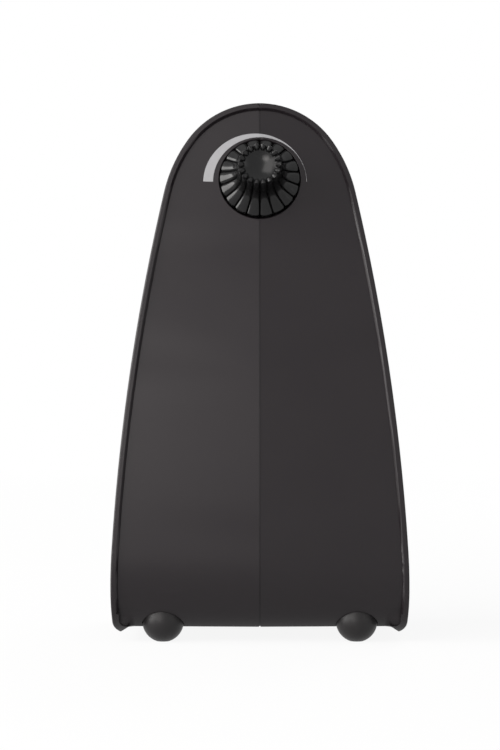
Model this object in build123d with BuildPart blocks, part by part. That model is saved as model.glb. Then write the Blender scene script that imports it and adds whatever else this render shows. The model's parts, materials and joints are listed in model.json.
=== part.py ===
"""Upright electric can opener with a speed dial on its back.

Millimetres, +Z up. The back with the dial faces -Y, the cutting side faces +Y, and the seam between
the two half shells lies on x = 0. The origin is on the table under the middle of the whole machine.
"""
import os
from math import acos, asin, atan2, cos, degrees, hypot, pi, radians, sin, sqrt, tan

from build123d import *

os.makedirs("parts", exist_ok=True)

RIGHT, LEFT = 1, -1

# Casing, seen from the back: four tangent arcs a side and a small round at the foot of each side
total_height = 215.0
body_depth = 100.0
lever_reach = 30.0
crown_r = 35.3
shoulder_r = 60.0
side_r = 902.0
hem_r = 215.0
corner_r = 5.0
crown_angle = 35.0
shoulder_angle = 12.54
side_angle = 3.37
base_z = 3.9

# Casing, seen from the side: a long arc that leans forward, rolled under at the base
lean_r = 744.0
lean_z = 2.0
under_r = 18.0
front_round = 8.0
crease = 2.75
wall = 2.6
rim_width = 2.8
rim_bevel = 0.9
rim_edge = 0.8
rim_drop = 2.0
rail_drop = 0.5
rail_tip = 2.4
rail_slope = 35.0
recess = 1.3
seam_bevel = 0.3
notch = 1.2

front_y = (body_depth - lever_reach) / 2
rear_y = front_y - body_depth

# Clearances
slip = 0.03
seat_gap = 0.2
screw_play = 0.15

# Feet
foot_r = 8.2
foot_pad_r = 2.5
foot_x = 38.3
rear_foot_y = rear_y + 13.6
front_foot_y = front_y - 19.0
foot_z = sqrt(foot_r ** 2 - foot_pad_r ** 2)
foot_screw_r = 1.5

# Dial
dial_z = total_height - 31.0
lean = asin((dial_z - lean_z) / (lean_r - recess))
dial_y = rear_y + lean_r - (lean_r - recess) * cos(lean)
well_r = 16.3
well_bevel = 1.1
well_depth = 5.0
knob_r = 15.6
knob_tip_r = 7.7
knob_height = 18.0
knob_skirt = 3.2
knob_ribs = 18
knob_dish = 2.2
pot_r = 8.5
pot_shaft_r = 3.0
pot_bush_r = 3.6

# Front panel and the steel plates behind it
panel_thickness = 3.0
panel_sink = 1.2
panel_ledge = 1.2
panel_front = front_y - panel_sink
panel_back = panel_front - panel_thickness
panel_bottom = 13.8
panel_edge = wall - panel_ledge
plate_thickness = 2.0
plate_gap = 19.8
front_plate_y = panel_back - plate_thickness
rear_plate_y = front_plate_y - plate_gap - plate_thickness
wear_thickness = 1.2

# Gear train: module, wheel teeth and pinion teeth, from the feed wheel down to the motor
drive_z = total_height - 52.0
mesh_play = 0.1
m_out, m_mid, m_fast = 1.0, 0.8, 0.6
teeth_out, teeth_mid, teeth_fast, teeth_pinion = 48, 50, 56, 12
gear_2_z = drive_z - m_out * ((teeth_out + teeth_pinion) / 2 + mesh_play)
gear_1_z = gear_2_z - m_mid * ((teeth_mid + teeth_pinion) / 2 + mesh_play)
motor_z = gear_1_z - m_fast * ((teeth_fast + teeth_pinion) / 2 + mesh_play)
axle_r = 2.0
drive_shaft_r = 4.0
drive_journal_r = 3.0
drive_wheel_r = 9.0
drive_wheel_teeth = 24
drive_wheel_width = 5.5
drive_bush_r = 6.0

# Lever
pivot_x, pivot_z = 26.0, drive_z + 22.0
lever_back = front_y + 1.5
lever_front = front_y + 7.5
lever_shaft_r = 3.5
lever_bush_r = 5.0
lever_boss_r = 6.5
cutter_r = 8.0
cutter_z = drive_z + 22.1
cutter_width = 2.5
stud_r = 2.5
magnet_pin_y = front_y + 10.5
magnet_pin_z = drive_z + 36.5
magnet_pin_r = 1.5
magnet_y = front_y + 22.0
magnet_r = 6.5
cup_r = 7.5
cup_z = drive_z + 14.5

# Motor
stack_front = rear_plate_y - 6.0
stack_depth = 18.0
stack_half = 27.0
rotor_r = 12.0
motor_shaft_r = 2.0
motor_bolt_x, motor_bolt_dz = 21.0, 8.0
bolt_r = 1.5

# Switch under the lever's cam
cam_y = rear_plate_y + 4.5
cam_thickness = 4.5
switch_x, switch_top = 19.0, drive_z + 11.0
plunger_x = pivot_x - 9.0

# Mains inlet gland in the left wall
gland_y, gland_z = rear_y + 47.0, 22.0
gland_r = 5.2
cord_hole_r = 3.25
gland_length = 12.0


def point_from(centre, radius, angle):
    return (centre[0] + radius * cos(radians(angle)), centre[1] + radius * sin(radians(angle)))


# Centres of the outline's arcs, found from the crown downward
crown_c = (0.0, total_height - crown_r)
shoulder_c = point_from(point_from(crown_c, crown_r, crown_angle), -shoulder_r, crown_angle)
side_c = point_from(point_from(shoulder_c, shoulder_r, shoulder_angle), -side_r, shoulder_angle)
hem_c = point_from(point_from(side_c, side_r, side_angle), -hem_r, side_angle)
rail_z = base_z - rail_drop
corner_angle = degrees(asin((rail_z + corner_r - hem_c[1]) / (hem_r - corner_r)))
corner_c = point_from(hem_c, hem_r - corner_r, corner_angle)
# Each arc of the outline: centre, radius, angle of its lower end, angle of its upper end
outline_arcs = [(crown_c, crown_r, crown_angle, 90.0), (shoulder_c, shoulder_r, shoulder_angle, crown_angle),
                (side_c, side_r, side_angle, shoulder_angle), (hem_c, hem_r, corner_angle, side_angle),
                (corner_c, corner_r, -90.0, corner_angle)]
lean_c = (rear_y + lean_r, lean_z)


def half_width(z):
    """Half width of the casing at a height."""
    centre, radius = next((c, r) for c, r, low, _ in outline_arcs if z > c[1] + r * sin(radians(low)))
    return centre[0] + sqrt(radius ** 2 - (z - centre[1]) ** 2)


def rear_surface(z, skin=0.0):
    """Depth of the back at a height on the seam, moved in by skin."""
    return lean_c[0] - sqrt((lean_r - skin) ** 2 - (z - lean_z) ** 2)


def facing(y):
    """Upright plane at depth y, where sketches read x across and z up."""
    return Plane.XZ.offset(-y)


def forward(length, mode=Mode.ADD, profile=None):
    """Extrudes an upright sketch toward the cutting side."""
    extrude(profile, amount=-length, mode=mode)


def disc(plane, x, y, radius, length, mode=Mode.ADD, taper=0.0):
    """Round bar, or round hole, square to a plane."""
    with BuildSketch(plane) as section:
        with Locations((x, y)):
            Circle(radius)
    extrude(section.sketch, amount=length, taper=taper, mode=mode)


def rod(x, z, radius, y0, y1, mode=Mode.ADD):
    """Round bar, or round hole, along the depth from y0 to y1."""
    disc(facing(y0), x, z, radius, y0 - y1, mode)


def pillar(x, y, radius, z0, z1, mode=Mode.ADD):
    """Round bar, or round hole, along the height from z0 to z1."""
    disc(Plane.XY.offset(z0), x, y, radius, z1 - z0, mode)


def across(y, z, radius, x0, x1, mode=Mode.ADD):
    """Round bar, or round hole, along the width from x0 to x1."""
    disc(Plane.YZ.offset(x0), y, z, radius, x1 - x0, mode)


def block(x0, x1, y0, y1, z0, z1, mode=Mode.ADD):
    """Rectangular block between three pairs of limits."""
    with BuildSketch(Plane.XY.offset(z0)) as section:
        with Locations(((x0 + x1) / 2, (y0 + y1) / 2)):
            Rectangle(x1 - x0, y1 - y0)
    extrude(section.sketch, amount=z1 - z0, mode=mode)


def arc(side, centre, radius, start, size):
    """Arc of the outline, mirrored about the seam for the left side."""
    CenterArc((side * centre[0], centre[1]), radius, start if side == RIGHT else 180 - start - size, size)


def half_outline(side, inset):
    """Half of the upright outline, moved inward by inset and closed along the seam."""
    low = rail_z + inset
    with BuildLine() as outline:
        for centre, radius, low_angle, high_angle in outline_arcs:
            arc(side, centre, radius - inset, low_angle, high_angle - low_angle)
        Line((side * corner_c[0], low), (0, low))
        Line((0, low), (0, total_height - inset))
    make_face(outline.edges())


def half_body(side, edge, skin, drop=0.0):
    """One half of the casing's bulk: the sides move in by edge, the back, base and front by skin.

    The roll under the base sits lower by drop.
    """
    under_angle = 180 - degrees(asin((base_z - drop + under_r - lean_z) / (lean_r - under_r)))
    under_c = point_from(lean_c, lean_r - under_r, under_angle)
    with BuildPart() as body:
        with BuildSketch(facing(rear_y - 5)):
            half_outline(side, edge)
        forward(body_depth + 10)
        with BuildSketch(Plane.YZ):
            with BuildLine():
                low = base_z - drop + skin
                reach = degrees(asin((total_height + 6 - lean_z) / lean_r))
                back = CenterArc(lean_c, lean_r - skin, 180 - reach, under_angle + reach - 180)
                CenterArc(under_c, under_r - skin, under_angle, 270 - under_angle)
                Polyline((under_c[0], low), (front_y + 10, low), (front_y + 10, (back @ 0).Y), back @ 0)
            make_face()
        extrude(amount=total_height / 2, dir=(side, tan(radians(crease)), 0), mode=Mode.INTERSECT)
        with BuildSketch(Plane.YZ):
            with BuildLine():
                centre = (front_y - front_round, base_z - drop + front_round)
                CenterArc(centre, front_round - skin, -90, 90)
                Polyline((front_y - skin, centre[1]), (front_y - skin, total_height + 10),
                         (rear_y - 10, total_height + 10), (rear_y - 10, low), (centre[0], low))
            make_face()
        extrude(amount=side * total_height / 2, mode=Mode.INTERSECT)
    return body.part


outer_half = {side: half_body(side, 0, 0, rim_drop) for side in (LEFT, RIGHT)}
inner_half = {side: half_body(side, 0, recess) for side in (LEFT, RIGHT)}
hollow_half = {side: half_body(side, wall, recess + wall) for side in (LEFT, RIGHT)}

# Dial plane: lies on the recessed back, its normal is the dial's axis
dial_plane = Plane(origin=(0, dial_y, dial_z), x_dir=(1, 0, 0), z_dir=(0, -cos(lean), sin(lean)))

panel_screws = [(side * (half_width(z) - 4.6), z)
                for z in (0.19 * total_height, 0.51 * total_height) for side in (LEFT, RIGHT)]
panel_screws += [(side * (crown_r - 5.1) * sin(radians(35)), crown_c[1] + (crown_r - 5.1) * cos(radians(35)))
                 for side in (LEFT, RIGHT)]
foot_points = [(side * foot_x, y) for y in (rear_foot_y, front_foot_y) for side in (LEFT, RIGHT)]
foot_boss_top = foot_z + foot_r + 3.0
base_x, base_y0, base_y1 = 30.0, rear_y + 33.0, front_y - 25.0
base_screws = [(x, y) for x in (LEFT * 27, 27) for y in (base_y0 + 3, base_y1 - 3)]
seam_screws = [(rear_surface(z, recess + wall) + 6, z) for z in (0.28 * total_height, 0.55 * total_height)]
seam_screws += [(front_y - 36.0, total_height - 8.0), (front_y - 15.0, base_z + 9.6)]
seam_tab = 4.0
board_back, board_thickness = rear_y + 35.0, 1.6
board_posts = [(x, z) for x in (-20, 20) for z in (dial_z - 54.0, dial_z - 26.0)]

fittings = {}
for side in (LEFT, RIGHT):
    with BuildPart() as inside:
        # cup behind the dial's well
        with BuildSketch(dial_plane.offset(-1.8)):
            Circle(well_r + 2.2)
            Rectangle(60, 60, align=(Align.MIN if side == RIGHT else Align.MAX, Align.CENTER),
                      mode=Mode.INTERSECT)
        extrude(amount=-(well_depth + 0.6))
        # bosses for the panel screws, standing behind the ledge
        for x, z in panel_screws:
            if x * side > 0:
                rod(x, z, 3.2, panel_back - 14, panel_back)
        # cups over the ball feet
        for x, y in foot_points:
            if x * side > 0:
                pillar(x, y, foot_r + 2.4, base_z, foot_boss_top)
        # bosses for the base plate
        for x, y in base_screws:
            if x * side > 0:
                pillar(x, y, 3.2, base_z + recess, 14)
        # tabs that meet at the seam
        for y, z in seam_screws:
            block(min(0, side * seam_tab), max(0, side * seam_tab), y - 7, y + 5, z - 6, z + 6)
        # posts for the control board
        for x, z in board_posts:
            if x * side > 0:
                rod(x, z, 3.0, rear_surface(z, recess + wall) - 1, board_back)
        add(inner_half[side], mode=Mode.INTERSECT)
        if side == LEFT:
            # collar around the mains inlet gland
            skin_x = -half_width(gland_z)
            across(gland_y, gland_z, gland_r + 2.0, skin_x + 1, skin_x + gland_length - 2)
    fittings[side] = inside.part

# Fine groove where the halves meet
groove_half = {}
for side in (LEFT, RIGHT):
    with BuildPart() as groove:
        block(min(0, side * seam_bevel), max(0, side * seam_bevel), rear_y - 5, 0, 0, total_height)
        add(inner_half[side], mode=Mode.INTERSECT)
        add(half_body(side, 0, recess + seam_bevel), mode=Mode.SUBTRACT)
    groove_half[side] = groove.part


def on_back(edge):
    """True for an edge that lies on the rim's outer surface of the back."""
    p = edge @ 0.5
    return abs(p.Y - abs(p.X) * tan(radians(crease)) - rear_surface(p.Z)) < 0.05


def rim_inset(edge):
    """Distance from the middle of an edge in to the outline."""
    p = edge @ 0.5
    x = abs(p.X)
    for centre, radius, low_angle, _ in outline_arcs:
        if degrees(atan2(p.Z - centre[1], x - centre[0])) > low_angle:
            break
    return radius - hypot(x - centre[0], p.Z - centre[1])


# Rim half: rounded outside, bevelled inside down to the under-curve, open along the base
bevel_low = base_z + 7.5
rim_half = {}
for side in (LEFT, RIGHT):
    with BuildPart() as shell:
        add(outer_half[side])
        fillet(edges().filter_by(lambda e: abs(rim_inset(e)) < 0.02 and abs((e @ 0.5).X) > 0.5 and
                                 (e @ 0.5).Y < rear_y / 2 and e.geom_type != GeomType.LINE), rim_edge)
        with BuildSketch(facing(rear_y - 10)):
            half_outline(side, rim_width)
            rail_end = (corner_c[0] + rail_tip, rail_z)
            mouth_low, mouth_high = (point_from(rail_end, reach, 180 - rail_slope) for reach in (-2, 9))
            with BuildLine() as mouth:
                Polyline((0, mouth_low[1]), (side * mouth_low[0], mouth_low[1]),
                         (side * mouth_high[0], mouth_high[1]), (0, mouth_high[1]), close=True)
            make_face(mouth.edges())
        forward(body_depth - front_round + 10, Mode.SUBTRACT)
    with BuildPart() as bevelled:
        add(shell.part)
        split(bisect_by=Plane.XY.offset(bevel_low), keep=Keep.TOP)
        chamfer(edges().filter_by(lambda e: on_back(e) and abs((e @ 0.5).X) > 0.5 and
                                  abs(rim_inset(e) - rim_width) < 0.05), rim_bevel)
    with BuildPart() as rim:
        add(shell.part)
        split(bisect_by=Plane.XY.offset(bevel_low), keep=Keep.BOTTOM)
        add(bevelled.part)
    rim_half[side] = rim.part


def casing_half(side):
    """One half shell, hollow, with its rim, dial well, ledge for the panel and fittings."""
    add(rim_half[side])
    add(inner_half[side])
    add(groove_half[side], mode=Mode.SUBTRACT)
    add(hollow_half[side], mode=Mode.SUBTRACT)
    for inset, low, y in ((wall, panel_bottom + panel_ledge, panel_back - 12),
                          (panel_edge, panel_bottom, panel_back)):
        with BuildSketch(facing(y)) as opening:
            half_outline(side, inset)
            with Locations((0, low)):
                Rectangle(total_height, total_height, align=(Align.CENTER, Align.MAX), mode=Mode.SUBTRACT)
        forward(front_y + 2 - y, Mode.SUBTRACT, opening.sketch)
    add(fittings[side])
    # dial well with its bevelled mouth, and the hole for the control's bush
    disc(dial_plane.offset(-well_depth), 0, 0, well_r, well_depth + 5, Mode.SUBTRACT)
    disc(dial_plane.offset(1.0), 0, 0, well_r + well_bevel + 1.0, -(well_bevel + 1.0), Mode.SUBTRACT, 45)
    disc(dial_plane.offset(-well_depth - 4), 0, 0, pot_bush_r + screw_play, 8, Mode.SUBTRACT)
    for x, z in panel_screws:
        rod(x, z, 1.3, panel_back - 12, panel_back + 1, Mode.SUBTRACT)
    for x, y in foot_points:
        with Locations((x, y, foot_z)):
            Sphere(foot_r + seat_gap, mode=Mode.SUBTRACT)
        pillar(x, y, foot_screw_r + screw_play, foot_z, foot_boss_top + 1, Mode.SUBTRACT)
    # opening and rebate for the base plate
    low = base_z + recess
    block(-25, 25, base_y0 + 5, base_y1 - 5, low - 1, low + wall + 1, Mode.SUBTRACT)
    block(-base_x, base_x, base_y0, base_y1, low - 1, low + wall / 2, Mode.SUBTRACT)
    for x, y in base_screws:
        pillar(x, y, 1.1, low, 12, Mode.SUBTRACT)
    for y, z in seam_screws:
        across(y, z, bolt_r + screw_play, -seam_tab - 1, seam_tab + 1, Mode.SUBTRACT)
    for x, z in board_posts:
        rod(x, z, 1.1, board_back - 8, board_back + 1, Mode.SUBTRACT)
    # notch in the rim at the top of the seam
    top_y = rear_surface(total_height)
    with BuildSketch(facing(top_y - 3)) as groove:
        with Locations((0, total_height)):
            RegularPolygon(notch * 1.2, 4, major_radius=True)
    forward(3 + rim_bevel, Mode.SUBTRACT, groove.sketch)


with BuildPart() as left_casing:
    casing_half(LEFT)
    across(gland_y, gland_z, gland_r, -70, -40, Mode.SUBTRACT)

with BuildPart() as right_casing:
    casing_half(RIGHT)


# Flat front panel that carries the whole mechanism
def plate_outline(x_half, z0, z1, radius, y, thickness):
    """Upright sheet with round corners, whose back is at depth y."""
    with BuildSketch(facing(y)) as sheet:
        with Locations((0, (z0 + z1) / 2)):
            RectangleRounded(2 * x_half, z1 - z0, radius)
    forward(thickness, profile=sheet.sketch)


plate_bolts = [(x, z) for x in (-28, 28) for z in (drive_z - 83.0, drive_z - 13.0)]
wear_x, wear_z0, wear_z1 = 15.0, drive_z - 27.0, drive_z + 13.0
wear_screws = [(-11.0, wear_z0 + 4.0), (11.0, wear_z0 + 4.0)]
guide_x, guide_z, guide_r = -18.5, drive_z - 1.0, 3.0

with BuildPart() as front_panel:
    for side in (LEFT, RIGHT):
        with BuildSketch(facing(panel_back)):
            half_outline(side, panel_edge + seat_gap)
            with Locations((0, panel_bottom + seat_gap)):
                Rectangle(total_height, total_height, align=(Align.CENTER, Align.MAX), mode=Mode.SUBTRACT)
        forward(panel_thickness)
    rod(pivot_x, pivot_z, lever_boss_r, panel_back - 8, panel_back)
    rod(pivot_x, pivot_z, lever_bush_r, panel_back - 9, panel_front + 1, Mode.SUBTRACT)
    rod(0, drive_z, drive_bush_r, panel_back - 1, panel_front + 1, Mode.SUBTRACT)
    for x, z in panel_screws:
        rod(x, z, bolt_r + screw_play, panel_back - 1, panel_front + 1, Mode.SUBTRACT)
        rod(x, z, 3.0, panel_front - 1.2, panel_front + 1, Mode.SUBTRACT)
    for x, z in plate_bolts:
        rod(x, z, bolt_r, panel_back - 1, panel_back + 2, Mode.SUBTRACT)
    for x, z in wear_screws + [(guide_x, guide_z)]:
        rod(x, z, bolt_r, panel_back - 1, panel_front + 1, Mode.SUBTRACT)

with BuildPart() as panel_screw_set:
    for x, z in panel_screws:
        rod(x, z, 1.3, panel_back - 10, panel_front - 1)
        rod(x, z, 2.8, panel_front - 1.2, panel_front + 0.4)
        rod(x, z, 0.9, panel_front - 0.4, panel_front + 1, Mode.SUBTRACT)

with BuildPart() as wear_plate:
    plate_outline(wear_x, wear_z0, wear_z1, 5, panel_front, wear_thickness)
    rod(0, drive_z, drive_bush_r, panel_front - 1, front_y + 1, Mode.SUBTRACT)
    for x, z in wear_screws:
        rod(x, z, bolt_r, panel_front - 1, front_y + 1, Mode.SUBTRACT)

with BuildPart() as wear_screw_set:
    for x, z in wear_screws:
        rod(x, z, bolt_r, panel_back + 0.4, front_y)
        rod(x, z, 2.6, front_y, front_y + 1.2)

with BuildPart() as can_guide_post:
    rod(guide_x, guide_z, bolt_r, panel_back + 0.2, panel_front)
    rod(guide_x, guide_z, guide_r, panel_front, front_y + 9)
    fillet(faces().sort_by(Axis.Y)[-1].edges(), 0.8)

with BuildPart() as gear_plate_front:
    plate_outline(32, drive_z - 91, drive_z + 9, 6, front_plate_y, plate_thickness)
    rod(0, drive_z, drive_bush_r, front_plate_y - 1, panel_back + 1, Mode.SUBTRACT)
    for z in (gear_2_z, gear_1_z):
        rod(0, z, axle_r, front_plate_y - 1, panel_back + 1, Mode.SUBTRACT)
    for x, z in plate_bolts:
        rod(x, z, bolt_r, front_plate_y - 1, panel_back + 1, Mode.SUBTRACT)

motor_bolts = [(x, motor_z + dz) for x in (-motor_bolt_x, motor_bolt_x)
               for dz in (-motor_bolt_dz, motor_bolt_dz)]
switch_holes = [(switch_x - 6, switch_top - 7.5), (switch_x + 6, switch_top - 7.5)]

with BuildPart() as gear_plate_rear:
    plate_outline(32, drive_z - 91, drive_z + 13, 6, rear_plate_y, plate_thickness)
    rod(0, drive_z, drive_journal_r + slip, rear_plate_y - 1, rear_plate_y + 3, Mode.SUBTRACT)
    rod(0, motor_z, motor_shaft_r + 1.5, rear_plate_y - 1, rear_plate_y + 3, Mode.SUBTRACT)
    for z in (gear_2_z, gear_1_z):
        rod(0, z, axle_r, rear_plate_y - 1, rear_plate_y + 3, Mode.SUBTRACT)
    for x, z in plate_bolts + motor_bolts + switch_holes:
        rod(x, z, bolt_r, rear_plate_y - 1, rear_plate_y + 3, Mode.SUBTRACT)

with BuildPart() as spacers:
    for x, z in plate_bolts:
        rod(x, z, 3.0, rear_plate_y + plate_thickness, front_plate_y)
        rod(x, z, bolt_r, rear_plate_y, front_plate_y + 1, Mode.SUBTRACT)
    for x, z in motor_bolts:
        rod(x, z, 3.0, stack_front + 1.5, rear_plate_y)
        rod(x, z, bolt_r, stack_front, rear_plate_y + 1, Mode.SUBTRACT)

with BuildPart() as plate_screws:
    for x, z in plate_bolts:
        rod(x, z, bolt_r, rear_plate_y - 0.2, panel_back + 1.8)
        rod(x, z, 2.8, rear_plate_y - 2.0, rear_plate_y)

with BuildPart() as gear_axles:
    for z in (gear_2_z, gear_1_z):
        rod(0, z, axle_r, rear_plate_y, panel_back)

with BuildPart() as shaft_bushes:
    rod(0, drive_z, drive_bush_r, front_plate_y, front_y + 0.8)
    rod(0, drive_z, drive_shaft_r + slip, front_plate_y - 1, front_y + 2, Mode.SUBTRACT)
    rod(pivot_x, pivot_z, lever_bush_r, panel_back - 8.5, front_y + 0.4)
    rod(pivot_x, pivot_z, lever_shaft_r + slip, panel_back - 10, front_y + 2, Mode.SUBTRACT)


def involute(angle):
    return tan(angle) - angle


def toothed(x, z, module, count, first, y0, y1):
    """Spur wheel along the depth; first is the direction of one tooth in degrees."""
    pitch_r = module * count / 2
    base_r = pitch_r * cos(radians(20))
    root_r = pitch_r - 1.3 * module
    tip_r = pitch_r + 0.85 * module
    half = pi / (2 * count) - 0.12 * module / pitch_r + involute(radians(20))
    flank = [(root_r - 0.3 * module, half)]
    for r in (max(root_r, base_r), (base_r + tip_r) / 2, tip_r):
        turn = half - (involute(acos(base_r / r)) if r > base_r else 0.0)
        flank.append((r, turn))
    with BuildSketch(facing(y0)) as wheel:
        with Locations((x, z)):
            Circle(root_r)
            with PolarLocations(0, count, start_angle=first):
                Polygon(*[(r * cos(t), r * sin(t)) for r, t in flank],
                        *[(r * cos(t), -r * sin(t)) for r, t in reversed(flank)], align=None)
    forward(y1 - y0, profile=wheel.sketch)


out_y0 = front_plate_y - 6.8
big_2_y0 = rear_plate_y + 8.8
big_1_y0 = rear_plate_y + 3.2

with BuildPart() as output_gear:
    toothed(0, drive_z, m_out, teeth_out, -90 + 180 / teeth_out, out_y0, out_y0 + 6)
    rod(0, drive_z, drive_shaft_r, out_y0 - 1, out_y0 + 7, Mode.SUBTRACT)

with BuildPart() as gear_2:
    toothed(0, gear_2_z, m_mid, teeth_mid, -90 + 180 / teeth_mid, big_2_y0, big_2_y0 + 5)
    toothed(0, gear_2_z, m_out, teeth_pinion, 90, big_2_y0 + 5, front_plate_y - 0.5)
    rod(0, gear_2_z, axle_r + slip, big_2_y0 - 1, front_plate_y, Mode.SUBTRACT)

with BuildPart() as gear_1:
    toothed(0, gear_1_z, m_fast, teeth_fast, -90 + 180 / teeth_fast, big_1_y0, big_1_y0 + 4)
    toothed(0, gear_1_z, m_mid, teeth_pinion, 90, big_1_y0 + 4, big_2_y0 + 5.6)
    rod(0, gear_1_z, axle_r + slip, big_1_y0 - 1, big_2_y0 + 8, Mode.SUBTRACT)

# Feed wheel and its shaft
wheel_y0 = front_y + 2.5
wheel_y1 = wheel_y0 + drive_wheel_width
with BuildPart() as drive_shaft:
    rod(0, drive_z, drive_journal_r, rear_plate_y, rear_plate_y + 3.5)
    rod(0, drive_z, drive_shaft_r, rear_plate_y + 3, wheel_y0)
    rod(0, drive_z, 2.5, wheel_y0 - 1, wheel_y1 + 4.0)
    chamfer(faces().sort_by(Axis.Y)[-1].edges(), 0.4)

with BuildPart() as drive_wheel:
    with BuildSketch(facing(wheel_y0)):
        with Locations((0, drive_z)):
            Circle(drive_wheel_r - 0.9)
            with PolarLocations(0, drive_wheel_teeth):
                Polygon((drive_wheel_r - 1.2, -0.95), (drive_wheel_r, -0.3), (drive_wheel_r, 0.3),
                        (drive_wheel_r - 1.2, 0.95), align=None)
    forward(drive_wheel_width)
    rod(0, drive_z, 2.5, wheel_y0 - 1, wheel_y1 + 1, Mode.SUBTRACT)

with BuildPart() as drive_wheel_nut:
    with BuildSketch(facing(wheel_y1)):
        with Locations((0, drive_z)):
            RegularPolygon(4.0, 6, major_radius=False)
    forward(3.2)
    rod(0, drive_z, 2.5, wheel_y1 - 1, wheel_y1 + 5, Mode.SUBTRACT)

# Lever
arm_points = [(pivot_x, pivot_z, 7.0), (0.0, cutter_z, 6.2), (-30.0, pivot_z + 5.0, 3.5)]
with BuildPart() as lever_arm:
    for (xa, za, ra), (xb, zb, rb) in zip(arm_points, arm_points[1:]):
        with BuildSketch(facing(lever_back)):
            with Locations((xa, za)):
                Circle(ra)
            with Locations((xb, zb)):
                Circle(rb)
            make_hull()
        forward(lever_front - lever_back)
    block(-4, 4, lever_back, magnet_pin_y + 3.0, magnet_pin_z - 3.5, magnet_pin_z + 3.0)
    block(-4, 4, lever_back, lever_front, cutter_z, magnet_pin_z)
    rod(pivot_x, pivot_z, lever_shaft_r, lever_back - 1, lever_front + 1, Mode.SUBTRACT)
    rod(0, cutter_z, stud_r, lever_back - 1, lever_front + 1, Mode.SUBTRACT)
    across(magnet_pin_y, magnet_pin_z, magnet_pin_r, -5, 5, Mode.SUBTRACT)

with BuildPart() as lever_shaft:
    rod(pivot_x, pivot_z, lever_shaft_r, cam_y - 0.8, lever_front)
    rod(pivot_x, pivot_z, 5.5, lever_front, lever_front + 1.6)
    fillet(faces().sort_by(Axis.Y)[-1].edges(), 0.6)

with BuildPart() as cutter_stud:
    rod(0, cutter_z, stud_r, lever_back, front_y + 11.8)
    rod(0, cutter_z, 3.8, front_y + 11.8, front_y + 13.0)

with BuildPart() as lever_grip:
    with BuildSketch(facing(front_y + 1.0)):
        with BuildLine():
            under = ThreePointArc((-35, pivot_z + 5), (-33.5, pivot_z - 0.5), (-29, pivot_z - 1.5))
            top = ThreePointArc((-14, pivot_z + 10.5), (-25, pivot_z + 12.5), (-33, pivot_z + 9.5))
            Polyline(under @ 1, (-16, pivot_z - 0.5), top @ 0)
            Line(top @ 1, under @ 0)
        make_face()
    forward(26)
    fillet(faces().sort_by(Axis.Y)[-1].edges(), 1.6)
    (xa, za, ra), (xb, zb, rb) = arm_points[1:]
    with BuildSketch(facing(lever_back)):
        with Locations((xa, za)):
            Circle(ra)
        with Locations((xb, zb)):
            Circle(rb)
        make_hull()
    forward(lever_front - lever_back, Mode.SUBTRACT)

cam_tip = (plunger_x, pivot_z - 6.0)
with BuildPart() as switch_cam:
    with BuildSketch(facing(cam_y)):
        with Locations((pivot_x, pivot_z)):
            Circle(5.5)
        with Locations(cam_tip):
            Circle(2.0)
        make_hull()
    forward(cam_thickness)
    rod(pivot_x, pivot_z, lever_shaft_r, cam_y - 1, cam_y + cam_thickness + 1, Mode.SUBTRACT)

with BuildPart() as shaft_ring:
    rod(pivot_x, pivot_z, 5.2, cam_y + cam_thickness + 0.6, cam_y + cam_thickness + 1.6)
    rod(pivot_x, pivot_z, lever_shaft_r, cam_y + cam_thickness, cam_y + cam_thickness + 2, Mode.SUBTRACT)

with BuildPart() as cutter_wheel:
    rod(0, cutter_z, 4.2, front_y + 8.2, front_y + 11.4)
    with BuildSketch(Plane.YZ):
        with BuildLine():
            Polyline((front_y + 8.6, cutter_z), (front_y + 8.6, cutter_z + cutter_r - 0.25),
                     (front_y + 8.8, cutter_z + cutter_r), (front_y + 11.0, cutter_z + cutter_r - 2.2),
                     (front_y + 11.0, cutter_z), close=True)
        make_face()
    revolve(axis=Axis((0, 0, cutter_z), (0, 1, 0)))
    rod(0, cutter_z, stud_r + slip, front_y + 7, front_y + 13, Mode.SUBTRACT)

with BuildPart() as magnet_pin:
    across(magnet_pin_y, magnet_pin_z, magnet_pin_r, -7, 7)
    chamfer(edges().filter_by(GeomType.CIRCLE), 0.3)

strap = 1.4
with BuildPart() as magnet_bracket:
    for x in (-4.3 - strap, 4.3):
        with BuildSketch(Plane.YZ.offset(x)):
            with Locations((magnet_pin_y, magnet_pin_z)):
                Circle(3.6)
            with Locations((magnet_pin_y + 1, magnet_pin_z + 4.6)):
                Circle(1.5)
            make_hull()
            with Locations((magnet_pin_y, magnet_pin_z)):
                Circle(magnet_pin_r + slip, mode=Mode.SUBTRACT)
        extrude(amount=strap)
    top_z = magnet_pin_z + 4.4
    block(-4.3 - strap, 4.3 + strap, magnet_pin_y - 1, magnet_y + strap, top_z, top_z + strap)
    block(-3.2, 3.2, magnet_y - strap / 2, magnet_y + strap / 2 + 0.7, cup_z + 6.0, top_z + strap)

with BuildPart() as magnet_cup:
    pillar(0, magnet_y, cup_r, cup_z, cup_z + 6.0)
    pillar(0, magnet_y, magnet_r, cup_z - 1, cup_z + 4.0, Mode.SUBTRACT)
    fillet(faces().sort_by(Axis.Z)[-1].edges(), 0.8)

with BuildPart() as magnet:
    pillar(0, magnet_y, magnet_r, cup_z + 0.3, cup_z + 4.0)

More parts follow.
